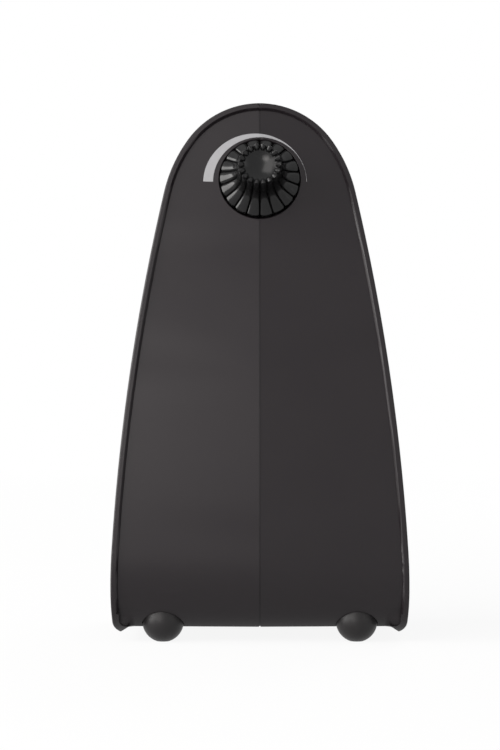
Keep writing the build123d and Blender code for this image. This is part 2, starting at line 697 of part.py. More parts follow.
# Switch
with BuildPart() as switch_body:
    block(switch_x - 10, switch_x + 10, rear_plate_y + plate_thickness, rear_plate_y + plate_thickness + 6.4,
          switch_top - 10, switch_top)
    block(plunger_x - 1.8, plunger_x + 1.8, cam_y + 0.2, cam_y + 4.0, switch_top - 7.6, switch_top + 1,
          Mode.SUBTRACT)
    for x, z in switch_holes:
        rod(x, z, bolt_r, rear_plate_y, rear_plate_y + 10, Mode.SUBTRACT)
with BuildPart() as switch_plunger:
    block(plunger_x - 1.5, plunger_x + 1.5, cam_y + 0.5, cam_y + 3.7, switch_top - 4.8,
          cam_tip[1] - 2.0 - 0.15)
with BuildPart() as switch_screws:
    for x, z in switch_holes:
        rod(x, z, bolt_r, rear_plate_y, rear_plate_y + plate_thickness + 6.4)
        rod(x, z, 2.2, rear_plate_y + plate_thickness + 6.4, rear_plate_y + plate_thickness + 7.8)
with BuildPart() as switch_terminals:
    for x in (switch_x - 7, switch_x, switch_x + 7):
        block(x - 1.2, x + 1.2, cam_y + 1.0, cam_y + 1.6, switch_top - 16, switch_top - 10)

# Motor
stack_back = stack_front - stack_depth
stack_top, window_top = motor_z + 19.0, motor_z - 16.0
bar_bottom = base_z + 32.1
bar_top = bar_bottom + 12.0
with BuildPart() as motor_stator:
    with BuildSketch(facing(stack_back)):
        with Locations((0, (bar_bottom + stack_top) / 2)):
            RectangleRounded(2 * stack_half, stack_top - bar_bottom, 3)
        with Locations((0, (bar_top + window_top) / 2)):
            Rectangle(30.5, window_top - bar_top, mode=Mode.SUBTRACT)
        with Locations((0, motor_z)):
            Circle(rotor_r + 0.4, mode=Mode.SUBTRACT)
        with Locations(*motor_bolts):
            Circle(bolt_r, mode=Mode.SUBTRACT)
    forward(stack_depth)

bobbin_half = 14.5
with BuildPart() as coil_bobbin:
    for x0, x1, grow in ((-bobbin_half, -bobbin_half + 1.5, 10.0), (-bobbin_half + 1.5, bobbin_half - 1.5, 1.2),
                         (bobbin_half - 1.5, bobbin_half, 10.0)):
        block(x0, x1, stack_back - grow, stack_front + grow, bar_bottom - grow, bar_top + grow)
    block(-20, 20, stack_back, stack_front, bar_bottom, bar_top, Mode.SUBTRACT)
with BuildPart() as motor_coil:
    block(-bobbin_half + 1.5, bobbin_half - 1.5, stack_back - 8.6, stack_front + 8.6,
          bar_bottom - 8.6, bar_top + 8.6)
    fillet(edges().filter_by(Axis.X), 5)
    block(-20, 20, stack_back - 1.2, stack_front + 1.2, bar_bottom - 1.2, bar_top + 1.2, Mode.SUBTRACT)


def bracket(y0, y1, hat_y0, hat_y1):
    """Bearing bracket across the motor, with a raised middle that holds the bush."""
    with BuildSketch(facing(y0)) as strap_face:
        with Locations((0, motor_z)):
            RectangleRounded(2 * motor_bolt_x + 10, 2 * motor_bolt_dz + 9, 4)
        with Locations(*motor_bolts):
            Circle(bolt_r, mode=Mode.SUBTRACT)
    forward(y1 - y0, profile=strap_face.sketch)
    rod(0, motor_z, 6.5, hat_y0, hat_y1)
    rod(0, motor_z, 4.0, hat_y0 - 5, hat_y1 + 5, Mode.SUBTRACT)


with BuildPart() as motor_bracket_front:
    bracket(stack_front, stack_front + 1.5, stack_front, stack_front + 5.0)
with BuildPart() as motor_bracket_rear:
    bracket(stack_back - 1.5, stack_back, stack_back - 5.0, stack_back)
with BuildPart() as motor_bushes:
    for y0, y1 in ((stack_front + 1.0, stack_front + 5.0), (stack_back - 5.0, stack_back - 1.0)):
        rod(0, motor_z, 4.0, y0, y1)
    rod(0, motor_z, motor_shaft_r + slip, stack_back - 6, stack_front + 6, Mode.SUBTRACT)
with BuildPart() as motor_screws:
    for x, z in motor_bolts:
        rod(x, z, bolt_r, stack_back - 1.5, rear_plate_y + plate_thickness)
        rod(x, z, 2.6, stack_back - 3.3, stack_back - 1.5)

with BuildPart() as rotor_shaft:
    rod(0, motor_z, motor_shaft_r, stack_back - 14, big_1_y0 - 0.8)
    toothed(0, motor_z, m_fast, teeth_pinion, 90, big_1_y0 - 0.8, big_1_y0 + 4.6)
with BuildPart() as rotor_core:
    rod(0, motor_z, rotor_r, stack_back + 0.8, stack_front - 0.8)
    rod(0, motor_z, motor_shaft_r, stack_back, stack_front, Mode.SUBTRACT)
with BuildPart() as motor_fan:
    rod(0, motor_z, 5.0, stack_back - 13, stack_back - 6)
    with BuildSketch(facing(stack_back - 13)):
        with Locations((0, motor_z)):
            with PolarLocations(9.0, 8):
                Rectangle(11, 1.2)
    forward(6)
    rod(0, motor_z, motor_shaft_r, stack_back - 14, stack_back - 5, Mode.SUBTRACT)

# Dial and the speed control behind it
rib_depth = 1.5


def fluted(radius, ribs):
    """Ring of round ribs that meet in sharp valleys."""
    valley = radius - rib_depth * radius / knob_r
    with BuildLine() as ring:
        for i in range(ribs):
            a, b, c = (radians(360 / ribs * (i + k)) for k in (0, 0.5, 1))
            ThreePointArc((valley * cos(a), valley * sin(a)), (radius * cos(b), radius * sin(b)),
                          (valley * cos(c), valley * sin(c)))
    make_face(ring.edges())


with BuildPart() as dial_knob:
    for share in (-knob_skirt / knob_height, 0.0, 0.15, 0.35, 0.57, 0.8, 1.0):
        with BuildSketch(dial_plane.offset(share * knob_height)):
            fluted(knob_tip_r + (knob_r - knob_tip_r) * (1 - max(share, 0)) ** 2.2, knob_ribs)
    loft()
    disc(dial_plane.offset(knob_height), 0, 0, knob_tip_r - 1.6, -knob_dish, Mode.SUBTRACT, 25)
    with BuildSketch(dial_plane.offset(-knob_skirt)):
        Circle(knob_r - 3.0)
        Circle(5.2, mode=Mode.SUBTRACT)
    extrude(amount=knob_skirt + 1.5, taper=20, mode=Mode.SUBTRACT)
    disc(dial_plane.offset(-knob_skirt - 1), 0, 0, 5.4, 2.0, Mode.SUBTRACT)
    disc(dial_plane.offset(-knob_skirt - 1), 0, 0, pot_shaft_r, knob_skirt + 11, Mode.SUBTRACT)

pot_face = -well_depth - 2.4
with BuildPart() as pot_shaft:
    disc(dial_plane.offset(pot_face - 7), 0, 0, pot_shaft_r, 7 - pot_face + 10)
with BuildPart() as pot_body:
    disc(dial_plane.offset(pot_face - 9), 0, 0, pot_r, 9)
    disc(dial_plane.offset(pot_face), 0, 0, pot_bush_r, 4.4)
    disc(dial_plane.offset(pot_face - 7.3), 0, 0, pot_shaft_r + slip, 20, Mode.SUBTRACT)
with BuildPart() as pot_nut:
    with BuildSketch(dial_plane.offset(-well_depth)):
        RegularPolygon(5.0, 6, major_radius=False)
        Circle(pot_bush_r, mode=Mode.SUBTRACT)
    extrude(amount=1.6)

with BuildPart() as control_board:
    with BuildSketch(facing(board_back)):
        with Locations((0, dial_z - 40)):
            RectangleRounded(48, 36, 2)
        with Locations(*board_posts):
            Circle(1.1, mode=Mode.SUBTRACT)
    forward(board_thickness)
with BuildPart() as board_screws:
    for x, z in board_posts:
        rod(x, z, 1.1, board_back - 6, board_back + board_thickness)
        rod(x, z, 2.2, board_back + board_thickness, board_back + board_thickness + 1.4)
with BuildPart() as board_parts:
    front = board_back + board_thickness
    block(-15, -5, front, front + 1.2, dial_z - 53, dial_z - 37)
    block(-15, -5, front, front + 4.4, dial_z - 53, dial_z - 44)
    block(1, 15, front, front + 7, dial_z - 50, dial_z - 32)

# Base plate, gland, feet and fixings
with BuildPart() as base_plate:
    low = base_z + recess
    block(-base_x + seat_gap, base_x - seat_gap, base_y0 + seat_gap, base_y1 - seat_gap, low, low + wall / 2)
    with BuildSketch(Plane.XY.offset(low - 1)):
        with Locations((0, (base_y0 + base_y1) / 2)):
            with GridLocations(5.5, 0, 8, 1):
                SlotOverall(24, 2.4, rotation=90)
    extrude(amount=4, mode=Mode.SUBTRACT)
    for x, y in base_screws:
        pillar(x, y, 1.1, low - 1, low + 3, Mode.SUBTRACT)
with BuildPart() as base_screw_set:
    for x, y in base_screws:
        pillar(x, y, 2.1, base_z + recess - 1.0, base_z + recess)
        pillar(x, y, 1.1, base_z + recess - 0.5, 11)

gland_x = -half_width(gland_z) + 0.6
with BuildPart() as cord_gland:
    across(gland_y, gland_z, gland_r, gland_x, gland_x + gland_length)
    across(gland_y, gland_z, gland_r + 1.4, gland_x + gland_length - 2.6, gland_x + gland_length)
    across(gland_y, gland_z, cord_hole_r, gland_x - 1, gland_x + gland_length + 1, Mode.SUBTRACT)

feet = {}
for (x, y), place in zip(foot_points, ("rear_left", "rear_right", "front_left", "front_right")):
    with BuildPart() as foot:
        with Locations((x, y, foot_z)):
            Sphere(foot_r)
        block(x - 10, x + 10, y - 10, y + 10, -5, 0, Mode.SUBTRACT)
        pillar(x, y, foot_screw_r, 9, 25, Mode.SUBTRACT)
    feet["foot_" + place] = foot
with BuildPart() as foot_screws:
    for x, y in foot_points:
        pillar(x, y, foot_screw_r, 9.2, foot_boss_top)
        pillar(x, y, 3.0, foot_boss_top, foot_boss_top + 1.8)

with BuildPart() as seam_bolts:
    for y, z in seam_screws:
        across(y, z, bolt_r, -seam_tab - 2.4, seam_tab)
        across(y, z, 2.8, seam_tab, seam_tab + 2.0)
        with BuildSketch(Plane.YZ.offset(-seam_tab - 2.4)):
            with Locations((y, z)):
                RegularPolygon(2.75, 6, major_radius=False)
        extrude(amount=2.4)

nodes = {
    "left_casing": left_casing, "right_casing": right_casing, "front_panel": front_panel,
    "panel_screws": panel_screw_set, "wear_plate": wear_plate, "wear_plate_screws": wear_screw_set,
    "can_guide_post": can_guide_post, "gear_plate_front": gear_plate_front, "gear_plate_rear": gear_plate_rear,
    "spacers": spacers, "plate_screws": plate_screws, "gear_axles": gear_axles,
    "shaft_bushes": shaft_bushes, "output_gear": output_gear, "gear_2": gear_2,
    "gear_1": gear_1, "drive_shaft": drive_shaft, "drive_wheel": drive_wheel, "drive_wheel_nut": drive_wheel_nut,
    "lever_arm": lever_arm, "lever_shaft": lever_shaft, "cutter_stud": cutter_stud, "lever_grip": lever_grip,
    "switch_cam": switch_cam, "shaft_ring": shaft_ring, "cutter_wheel": cutter_wheel, "magnet_pin": magnet_pin,
    "magnet_bracket": magnet_bracket, "magnet_cup": magnet_cup, "magnet": magnet, "switch_body": switch_body,
    "switch_plunger": switch_plunger, "switch_screws": switch_screws, "switch_terminals": switch_terminals,
    "motor_stator": motor_stator, "coil_bobbin": coil_bobbin, "motor_coil": motor_coil,
    "motor_bracket_front": motor_bracket_front, "motor_bracket_rear": motor_bracket_rear,
    "motor_bushes": motor_bushes, "motor_screws": motor_screws,
    "rotor_shaft": rotor_shaft, "rotor_core": rotor_core, "motor_fan": motor_fan, "dial_knob": dial_knob,
    "potentiometer_shaft": pot_shaft, "potentiometer_body": pot_body, "potentiometer_nut": pot_nut,
    "control_board": control_board, "board_screws": board_screws, "board_parts": board_parts,
    "base_plate": base_plate, "base_plate_screws": base_screw_set,
    "cord_gland": cord_gland, "foot_screws": foot_screws, "seam_bolts": seam_bolts,
    **feet,
}
for label, piece in nodes.items():
    piece.part.label = label
    export_step(piece.part, f"parts/{label}.step")
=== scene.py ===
"""Finished look of an upright electric can opener, seen from its dial side."""
import json
from math import asin, cos, hypot, pi, radians, sin, sqrt, tan

import bpy
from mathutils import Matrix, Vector


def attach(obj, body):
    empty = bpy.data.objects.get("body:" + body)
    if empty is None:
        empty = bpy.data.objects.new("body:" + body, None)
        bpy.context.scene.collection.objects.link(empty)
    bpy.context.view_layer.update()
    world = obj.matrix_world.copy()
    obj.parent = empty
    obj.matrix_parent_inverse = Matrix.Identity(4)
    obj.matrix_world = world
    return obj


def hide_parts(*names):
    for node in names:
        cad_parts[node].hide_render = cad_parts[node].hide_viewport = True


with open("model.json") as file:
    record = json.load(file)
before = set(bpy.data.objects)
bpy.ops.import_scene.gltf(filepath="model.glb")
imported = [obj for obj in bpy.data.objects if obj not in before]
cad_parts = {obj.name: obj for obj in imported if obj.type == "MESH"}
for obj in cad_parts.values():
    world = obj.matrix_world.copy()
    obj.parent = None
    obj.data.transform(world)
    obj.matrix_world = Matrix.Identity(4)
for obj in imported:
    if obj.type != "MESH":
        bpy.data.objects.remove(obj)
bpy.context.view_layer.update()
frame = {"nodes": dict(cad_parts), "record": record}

MM = 0.001


# ---------------------------------------------------------------- small tools

def linear(code):
    """sRGB hex colour to linear RGBA."""
    parts = [int(code[i:i + 2], 16) / 255 for i in (1, 3, 5)]
    return [c / 12.92 if c <= 0.04045 else ((c + 0.055) / 1.055) ** 2.4 for c in parts] + [1.0]


def clamped(value):
    """The value, held between 0 and 1."""
    return min(max(value, 0), 1)


def eased(share):
    """A share from 0 to 1 that leaves 0 and reaches 1 slowly."""
    return share * share * (3 - 2 * share)


def put(tree, kind, props=None, values=None, wires=None):
    """Adds one shader node: props on the node, values on its sockets, wires into its sockets."""
    made = tree.nodes.new(kind)
    for name, value in (props or {}).items():
        setattr(made, name, value)
    for name, value in (values or {}).items():
        made.inputs[name].default_value = value
    for name, source in (wires or {}).items():
        tree.links.new(source, made.inputs[name])
    return made


def new_tree(owner):
    """Empty node tree of a new material or world."""
    owner.use_nodes = True
    owner.node_tree.nodes.clear()
    return owner.node_tree


def pick(piece):
    """Makes one object the only selected and active one."""
    bpy.ops.object.select_all(action="DESELECT")
    piece.select_set(True)
    bpy.context.view_layer.objects.active = piece


def edit(piece, *steps):
    """Runs mesh operators, each given with its settings, on the whole of an object."""
    pick(piece)
    bpy.ops.object.mode_set(mode="EDIT")
    for operator, settings in steps:
        bpy.ops.mesh.select_all(action="SELECT")
        operator(**settings)
    bpy.ops.object.mode_set(mode="OBJECT")


def smooth(piece, degrees):
    """Shades an object smooth, apart from edges sharper than an angle."""
    pick(piece)
    bpy.ops.object.shade_smooth_by_angle(angle=radians(degrees))


def apply_all(piece):
    """Applies the live modifiers in order."""
    pick(piece)
    for modifier in list(piece.modifiers):
        bpy.ops.object.modifier_apply(modifier=modifier.name)


def sheet(name, across, along):
    """Flat grid whose corners run from -1 to 1, ready to be wrapped into a form."""
    bpy.ops.object.select_all(action="DESELECT")
    bpy.ops.mesh.primitive_grid_add(x_subdivisions=across, y_subdivisions=along, size=2)
    made = bpy.context.active_object
    made.name = name
    return made


def reshade(mesh, outward):
    """Gives each corner of a mesh the direction that outward says for it, where it says one."""
    shading = [tuple(corner.vector) for corner in mesh.corner_normals]
    for face in mesh.polygons:
        for corner in face.loop_indices:
            out = outward(face, mesh.vertices[mesh.loops[corner].vertex_index].co / MM)
            if out is not None:
                shading[corner] = tuple(out)
    mesh.normals_split_custom_set(shading)


# ---------------------------------------------------------------- materials

def surface(tree, colours, patches, roughness, spread, wear, marks, strength, depth, kind):
    """Surface whose two colours follow patches, whose polish follows wear and whose relief follows marks."""
    tone = put(tree, "ShaderNodeMix", {"data_type": "RGBA"},
               {"A": linear(colours[0]), "B": linear(colours[1])}, {"Factor": patches})
    polish = put(tree, "ShaderNodeMapRange", None,
                 {"To Min": roughness - spread, "To Max": roughness + spread}, {"Value": wear})
    bump = put(tree, "ShaderNodeBump", None, {"Strength": strength, "Distance": depth * MM},
               {"Height": marks})
    body = put(tree, "ShaderNodeBsdfPrincipled", None, kind,
               {"Base Color": tone.outputs["Result"], "Roughness": polish.outputs["Result"],
                "Normal": bump.outputs["Normal"]})
    put(tree, "ShaderNodeOutputMaterial", None, None, {"Surface": body.outputs["BSDF"]})


MOULD_PATCH, METAL_PATCH = 22, 9        # mm over which the tone of a plastic and of a metal changes
MOULD_RELIEF, METAL_RELIEF = 0.6, 0.5   # how strongly their relief shows


def moulded(name, base, mottle, roughness, spread, grain, depth, ior=1.5):
    """Moulded plastic or rubber: grain is the size of the mould's texture in mm, depth its height in mm."""
    material = bpy.data.materials.new(name)
    tree = new_tree(material)
    place = put(tree, "ShaderNodeTexCoord").outputs["Object"]
    cloud = put(tree, "ShaderNodeTexNoise", None, {"Scale": 1 / (MOULD_PATCH * MM), "Detail": 3.0},
                {"Vector": place}).outputs["Fac"]
    fine = put(tree, "ShaderNodeTexNoise", None, {"Scale": 1 / (grain * MM), "Detail": 2.0},
               {"Vector": place}).outputs["Fac"]
    surface(tree, (base, mottle), cloud, roughness, spread, cloud, fine, MOULD_RELIEF, depth, {"IOR": ior})
    return material


def worked(name, base, worn, roughness, spread, line, stretch, depth):
    """Metal: line is the spacing of its brush or polish marks in mm, stretch how long they run along XYZ."""
    material = bpy.data.materials.new(name)
    tree = new_tree(material)
    place = put(tree, "ShaderNodeTexCoord").outputs["Object"]
    laid = put(tree, "ShaderNodeMapping", None, {"Scale": tuple(1 / s for s in stretch)}, {"Vector": place})
    marks = put(tree, "ShaderNodeTexNoise", None, {"Scale": 1 / (line * MM), "Detail": 3.0},
                {"Vector": laid.outputs["Vector"]}).outputs["Fac"]
    cloud = put(tree, "ShaderNodeTexNoise", None, {"Scale": 1 / (METAL_PATCH * MM), "Detail": 2.0},
                {"Vector": place}).outputs["Fac"]
    surface(tree, (base, worn), cloud, roughness, spread, marks, marks, METAL_RELIEF, depth,
            {"Metallic": 1.0})
    return material


# Spark-eroded black ABS: dull black skin with a soft, wide sheen
casing_abs = moulded("black_moulded_abs", "#1b171a", "#1d191b", 0.34, 0.03, 0.9, 0.008, ior=1.33)
# Polished-mould black ABS: a deeper black than the casing's, with tight highlights on the ribs
knob_abs = moulded("satin_black_abs", "#0f0f0f", "#121213", 0.2, 0.03, 0.7, 0.002, ior=1.34)
# Coarser black ABS of the front panel and the base plate
panel_abs = moulded("grained_black_abs", "#262627", "#2d2d2e", 0.55, 0.04, 0.8, 0.03)
# Black thermoplastic rubber, smooth and slightly waxy
foot_rubber = moulded("black_foot_rubber", "#181617", "#1c1a1b", 0.44, 0.04, 1.0, 0.006, ior=1.36)
# Light grey pad print, flat and even
scale_ink = moulded("light_grey_pad_print", "#949497", "#99999b", 0.5, 0.02, 0.5, 0.002)
# Natural nylon, creamy and a little waxy
gear_nylon = moulded("natural_nylon", "#d9d3c0", "#e2dccb", 0.42, 0.04, 1.0, 0.006)
# Black moulded nylon of the small electrical parts, fine-grained and half matt
dark_nylon = moulded("black_moulded_nylon", "#232325", "#2b2b2d", 0.5, 0.04, 0.8, 0.01)
# White moulded nylon of the small electrical parts, slightly warm and half matt
white_nylon = moulded("white_moulded_nylon", "#d2d0c8", "#dcdad3", 0.45, 0.04, 0.8, 0.008)
# Green glass-epoxy board with a soldermask gloss
board_epoxy = moulded("green_soldermask_laminate", "#1e5a34", "#256a3e", 0.3, 0.05, 0.9, 0.01)
# Sintered ferrite, dark and dry
magnet_ferrite = moulded("sintered_ferrite", "#38383a", "#424244", 0.7, 0.05, 0.5, 0.02)
# Cold-rolled strip brushed along its length
brushed_steel = worked("brushed_steel_strip", "#b4b4b7", "#a6a6a9", 0.3, 0.08, 0.35, (1, 1, 30), 0.004)
# Bright nickel and chromium plate over pressed steel
chrome_plate = worked("chromium_plate", "#cfcfd2", "#c6c6ca", 0.12, 0.04, 2.0, (1, 1, 1), 0.002)
# Zinc-plated screws and plates, slightly bluish with faint clouding
zinc_plate = worked("zinc_plated_steel", "#a9abae", "#9b9da1", 0.36, 0.06, 1.2, (1, 1, 1), 0.004)
# Stacked motor laminations, thin dark lines between oiled sheets
lamination = worked("stacked_lamination_steel", "#77777a", "#626266", 0.45, 0.1, 0.7, (40, 1, 40), 0.05)
# Oil-filled sintered bronze, warm and dull
bronze = worked("sintered_bronze", "#a8814e", "#8f6b3e", 0.42, 0.06, 0.5, (1, 1, 1), 0.01)
# Enamelled copper winding, fine turns side by side along X
copper = worked("enamelled_copper_winding", "#b3643a", "#8a4526", 0.35, 0.08, 0.45, (1, 60, 60), 0.1)

finish = {
    "casing_abs": casing_abs, "knob_abs": knob_abs, "panel_abs": panel_abs, "foot_rubber": foot_rubber,
    "bright_steel": brushed_steel, "zinc_steel": zinc_plate, "lamination_steel": lamination,
    "chrome_steel": chrome_plate, "bronze": bronze, "copper_wire": copper, "gear_nylon": gear_nylon,
    "board_laminate": board_epoxy, "dark_plastic": dark_nylon, "white_plastic": white_nylon,
    "magnet_ferrite": magnet_ferrite,
}

# Every solid wears the finish of its own slot, also inside, where few of them are seen
behaviour = frame["record"]["behaviour"]
slot_of = {entry["node"]: entry["material_slot"] for entry in frame["record"]["subparts"]}
body_of = {node: body for body, members in behaviour["bodies"].items() for node in members}
for node, piece in frame["nodes"].items():
    piece.data.materials.clear()
    piece.data.materials.append(finish[slot_of[node]])


# ---------------------------------------------------------------- finished copies of the solids

WELD, FLAT_WITHIN = 2e-6, radians(1.0)  # m between points and angle between faces that are made one
BROKEN_FROM = radians(40)               # only edges sharper than this are broken
ROUND_WITHIN = 32.0                     # degrees up to which neighbouring facets are one curved face


def dress(node, edge=0.0):
    """Finished copy of a solid: one skin, edges broken by edge mm, curved faces smooth."""
    piece = bpy.data.objects.new(node + "_finished", frame["nodes"][node].data.copy())
    bpy.context.scene.collection.objects.link(piece)
    steps = [(bpy.ops.mesh.remove_doubles, {"threshold": WELD})]
    if edge:
        steps.append((bpy.ops.mesh.dissolve_limited, {"angle_limit": FLAT_WITHIN}))
    edit(piece, *steps)
    if edge:
        bevel = piece.modifiers.new("broken_edge", "BEVEL")
        bevel.width = edge * MM
        bevel.segments = 2
        bevel.limit_method = "ANGLE"
        bevel.angle_limit = BROKEN_FROM
        bevel.use_clamp_overlap = True
        apply_all(piece)
    smooth(piece, ROUND_WITHIN)
    weigh = piece.modifiers.new("flat_faces_lead", "WEIGHTED_NORMAL")
    weigh.mode = "FACE_AREA"
    weigh.keep_sharp = True
    apply_all(piece)
    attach(piece, body_of[node])
    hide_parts(node)
    return piece


# The back's true surface, in mm: a long leaning arc about LEAN_AT, rolled under about ROLL_AT (depth and
# height of the centres), each half turned by CREASE at the seam
LEAN_R, ROLL_R, CREASE = 744.0, 18.0, radians(2.75)
LEAN_AT, ROLL_ABOVE = (679.0, 2.0), 19.9
ROLL_AT = (LEAN_AT[0] - sqrt((LEAN_R - ROLL_R) ** 2 - ROLL_ABOVE ** 2), LEAN_AT[1] + ROLL_ABOVE)
# The shading turns from the lean into the roll between two heights, with new rows of points on the way
EASE_TOP, EASE_LOW, EASE_POWER = 36.0, 2.0, 1.8
EASE_ROWS = (22.5, 25.5, 28.5, 32.0, EASE_TOP)
BACK_WITHIN = radians(7)  # a facet that leans no further than this from the true back belongs to it


def eased_out(side, z):
    """Outward direction of the back at a height in mm, turning slowly from the lean into the roll."""
    under = clamped((EASE_TOP - z) / (EASE_TOP - EASE_LOW)) ** EASE_POWER
    tilt = asin((z - LEAN_AT[1]) / LEAN_R) - asin(under)
    return Vector((side * tan(CREASE) * cos(tilt), -cos(tilt), sin(tilt))).normalized()


def back_outward(face, point):
    """Shading of the back at a point of a facet, none where the facet isn't part of the back."""
    side = 1 if face.center.x > 0 else -1
    depth = point.y - abs(point.x) * tan(CREASE)
    centre = LEAN_AT if point.z > ROLL_AT[1] - 1 else ROLL_AT
    out = Vector((0, depth - centre[0], point.z - centre[1])).normalized()
    out.x = -side * tan(CREASE) * out.y
    if face.normal.dot(out.normalized()) > cos(BACK_WITHIN):
        return eased_out(side, point.z)
    return None


for node in ("left_casing", "right_casing"):
    casing = dress(node)
    edit(casing, *[(bpy.ops.mesh.bisect, {"plane_co": (0, 0, row * MM), "plane_no": (0, 0, 1)})
                   for row in EASE_ROWS])
    reshade(casing.data, back_outward)
# The other pieces in view, each with its broken edge in mm
for node, edge in (("foot_rear_left", 0.0), ("foot_rear_right", 0.0), ("foot_front_left", 0.0),
                   ("foot_front_right", 0.0), ("cord_gland", 0.0), ("front_panel", 0.25),
                   ("lever_arm", 0.5), ("lever_grip", 0.0), ("wear_plate", 0.15),
                   ("magnet_bracket", 0.25), ("magnet_cup", 0.0), ("drive_wheel", 0.12),
                   ("drive_wheel_nut", 0.2), ("cutter_wheel", 0.0), ("lever_shaft", 0.0),
                   ("can_guide_post", 0.0), ("base_plate", 0.2)):
    dress(node, edge)


# ---------------------------------------------------------------- knob

dial = next(joint for joint in behaviour["joints"] if joint["name"] == "dial_turn")
dial_at, dial_out = Vector(dial["pos_m"]), Vector(dial["axis"])
if dial_out.y > 0:
    dial_out.negate()
dial_up = Vector((0, dial_out.z, -dial_out.y))


def from_dial(x, up, out):
    """Point given in mm from the middle of the dial's well, along its own three directions."""
    return dial_at + MM * (Vector((x, 0, 0)) + up * dial_up + out * dial_out)


# Fluted knob: a dished tip bitten by the round noses of eighteen ribs, which run down a flared body.
# Its section runs from the middle of the tip to the edge, down the body, the skirt and up the bore, in mm.
TIP_R, FOOT_R, BORE_R = 7.5, 14.7, 3.0
EDGE_TALL, SKIRT_DEEP, BORE_TALL = 17.1, 3.2, 10.0
DISH, FLARE = 2.2, 4.6              # depth of the dish, and how late the body flares
TIP_RINGS, BODY_RINGS, SKIRT_RINGS = 16, 44, 4
RIBS, HALF_RIB = 18, 10             # points along half of a rib's width
RIB_TIP, RIB_FOOT = 1.3, 1.35       # height of the ribs at the edge of the tip and at the foot
NOSE, BITE = 1.6, 1.5               # length of the noses, and how far they reach in over the tip
EDGE_EASE = 0.9                     # length on either side of a ring over which the ribs' lean is taken
KNOB_WELD, KNOB_SHARP = 5e-6, 38    # m between points made one, degrees from which an edge is sharp

section = [(TIP_R * i / TIP_RINGS, EDGE_TALL - DISH * (1 - (i / TIP_RINGS) ** 2))
           for i in range(TIP_RINGS + 1)]
section += [(TIP_R + (FOOT_R - TIP_R) * (i / BODY_RINGS) ** FLARE, EDGE_TALL * (1 - i / BODY_RINGS))
            for i in range(1, BODY_RINGS + 1)]
section += [(FOOT_R, -SKIRT_DEEP * i / SKIRT_RINGS) for i in range(1, SKIRT_RINGS + 1)]
ribbed = len(section)
section += [(BORE_R, -SKIRT_DEEP), (BORE_R, BORE_TALL), (0.0, BORE_TALL)]
run = [0.0]
for (r0, h0), (r1, h1) in zip(section, section[1:]):
    run.append(run[-1] + hypot(r1 - r0, h1 - h0))
edge_run, foot_run = run[TIP_RINGS], run[TIP_RINGS + BODY_RINGS]


def lean_out(k):
    """Direction in which the ribs stand off the body at ring k, eased around the tip's edge."""
    low = max(i for i in range(ribbed) if i == 0 or run[i] <= max(run[k] - EDGE_EASE, 0))
    high = min(i for i in range(ribbed) if i == ribbed - 1 or run[i] >= run[k] + EDGE_EASE)
    dr, dh = section[high][0] - section[low][0], section[high][1] - section[low][1]
    return -dh / hypot(dr, dh), dr / hypot(dr, dh)


stand = [lean_out(k) for k in range(ribbed)]
rings, rounds = len(section) - 1, RIBS * 2 * HALF_RIB
knob = sheet("fluted_dial_knob", rings, rounds)
for vertex in knob.data.vertices:
    k = round((vertex.co.x + 1) / 2 * rings)
    step = round((vertex.co.y + 1) / 2 * rounds) % rounds
    turn = 2 * pi * step / rounds
    r, out = section[k]
    if k < ribbed:
        off_ridge = abs((step + HALF_RIB) % (2 * HALF_RIB) / HALF_RIB - 1)
        past_nose = run[k] - (edge_run - BITE + NOSE * (1 - sqrt(1 - off_ridge * off_ridge)))
        rise = sqrt(1 - (1 - clamped(past_nose / NOSE)) ** 2)
        down = clamped((run[k] - edge_run) / (foot_run - edge_run))
        tall = (RIB_TIP + (RIB_FOOT - RIB_TIP) * down) * rise * sqrt(1 - off_ridge ** (2.0 + down))
        r, out = r + tall * stand[k][0], out + tall * stand[k][1]
    vertex.co = from_dial(r * cos(turn), r * sin(turn), out)
edit(knob, (bpy.ops.mesh.remove_doubles, {"threshold": KNOB_WELD}),
     (bpy.ops.mesh.normals_make_consistent, {"inside": False}))
smooth(knob, KNOB_SHARP)
knob.data.materials.append(knob_abs)
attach(knob, "dial")
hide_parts("dial_knob")


# ---------------------------------------------------------------- printed scale

# Crescent printed around the well: full width on the left, fading to nothing on the right. Both edges are
# circles in mm, the outer one shifted to the left, and the inner one a little wider at the top.
PRINT_IN, PRINT_OUT, PRINT_SHIFT, PRINT_SWELL, PRINT_LOW = 18.7, 20.75, 1.9, 0.5, 1.75
PRINT_FROM, PRINT_SWEEP = 178.6, 177.2  # degrees
PRINT_CLEAR = 0.1                       # m out from the casing's middle, from where the print is laid on
INK_LIFT, INK = 0.06, 0.05              # how far the ink stands off the casing, and its thickness

crescent = sheet("dial_scale_print", 97, 3)
for vertex in crescent.data.vertices:
    turn = radians(PRINT_FROM - PRINT_SWEEP * (vertex.co.x + 1) / 2)
    far = -PRINT_SHIFT * cos(turn) + sqrt(PRINT_OUT ** 2 - (PRINT_SHIFT * sin(turn)) ** 2)
    near = PRINT_IN + PRINT_SWELL * sin(turn)
    r = near + (far - near) * (vertex.co.y + 1) / 2
    vertex.co = from_dial(r * cos(turn), r * sin(turn) - PRINT_LOW, 0)
    vertex.co.y = -PRINT_CLEAR
for node in ("left_casing", "right_casing"):
    wrap = crescent.modifiers.new("laid_on_" + node, "SHRINKWRAP")
    wrap.target = frame["nodes"][node]
    wrap.wrap_method = "PROJECT"
    wrap.use_project_y = True
    wrap.use_positive_direction = True
    wrap.use_negative_direction = False
apply_all(crescent)
for vertex in crescent.data.vertices:
    vertex.co.y -= INK_LIFT * MM
ink = crescent.modifiers.new("ink", "SOLIDIFY")
ink.thickness = INK * MM
apply_all(crescent)
crescent.data.materials.append(scale_ink)
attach(crescent, "housing")


# ---------------------------------------------------------------- corner webs

